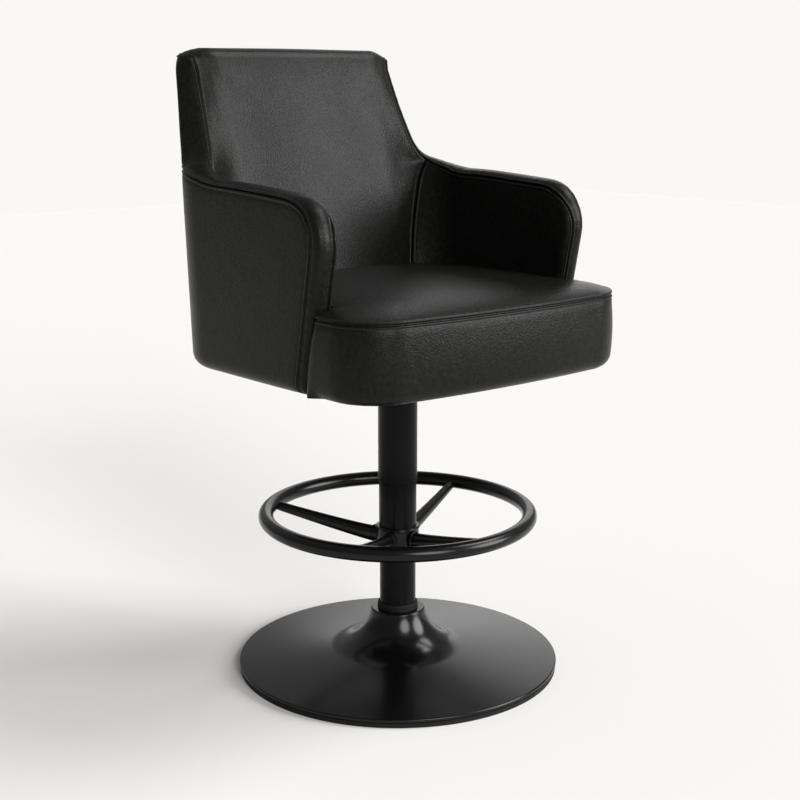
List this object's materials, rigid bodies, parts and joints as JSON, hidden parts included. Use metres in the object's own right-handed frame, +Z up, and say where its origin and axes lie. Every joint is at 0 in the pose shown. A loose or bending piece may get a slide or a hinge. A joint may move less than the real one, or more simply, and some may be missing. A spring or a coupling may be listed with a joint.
{
  "type": "gaming stool",
  "caption": "Swivel gaming stool with an upholstered tub seat, low arms and raised back, on a column with a round footrest and a trumpet base.",
  "frame": {"origin": "on the swivel axis, at floor level", "axes": "+Z up, the sitter faces -Y, +X is at the sitter's left hand"},
  "size_m": [0.52, 0.5605, 0.961],
  "materials": {
    "base_black": "smooth satin-gloss black",
    "column_black": "satin black",
    "footrest_black": "gloss black",
    "rubber": "matt moulded rubber",
    "plain_steel": "rolled and turned, unpainted",
    "zinc_steel": "zinc plated",
    "bronze": "sintered, oiled",
    "plywood": "raw plywood",
    "black_leather": "fine pebbled grain, satin",
    "dust_fabric": "non-woven sheet"
  },
  "bodies": {
    "pedestal": {"base_cover": "base_black", "floor_ring": "rubber", "base_plate": "plain_steel", "column_flange": "plain_steel", "flange_bolts": "zinc_steel", "base_grommet": "rubber", "column_post": "column_black", "lower_sleeve": "column_black", "upper_bearing_block": "plain_steel", "lower_bearing_block": "plain_steel", "upper_bushing": "bronze", "lower_bushing": "bronze", "thrust_bearing": "zinc_steel", "footrest_ring": "footrest_black", "footrest_hub": "column_black", "footrest_spokes": "footrest_black", "hub_set_screws": "zinc_steel"},
    "seat": {"upper_sleeve": "column_black", "swivel_spindle": "plain_steel", "spindle_washer": "zinc_steel", "spindle_circlip": "zinc_steel", "mounting_plate": "plain_steel", "mounting_bolts": "zinc_steel", "tee_nuts": "zinc_steel", "seat_board": "plywood", "dust_cover": "dust_fabric", "shell_frame": "plywood", "frame_screws": "zinc_steel", "outer_panel": "black_leather", "upper_rear_panel": "black_leather", "edge_band_left": "black_leather", "edge_band_right": "black_leather", "arm_pad_left": "black_leather", "arm_pad_right": "black_leather", "back_pad": "black_leather", "seat_cushion": "black_leather"}
  },
  "joints": [
    {"name": "seat_swivel", "type": "hinge", "parent": "pedestal", "child": "seat", "pos_m": [0, 0, 0.3], "axis": [0, 0, 1], "continuous": true}
  ]
}
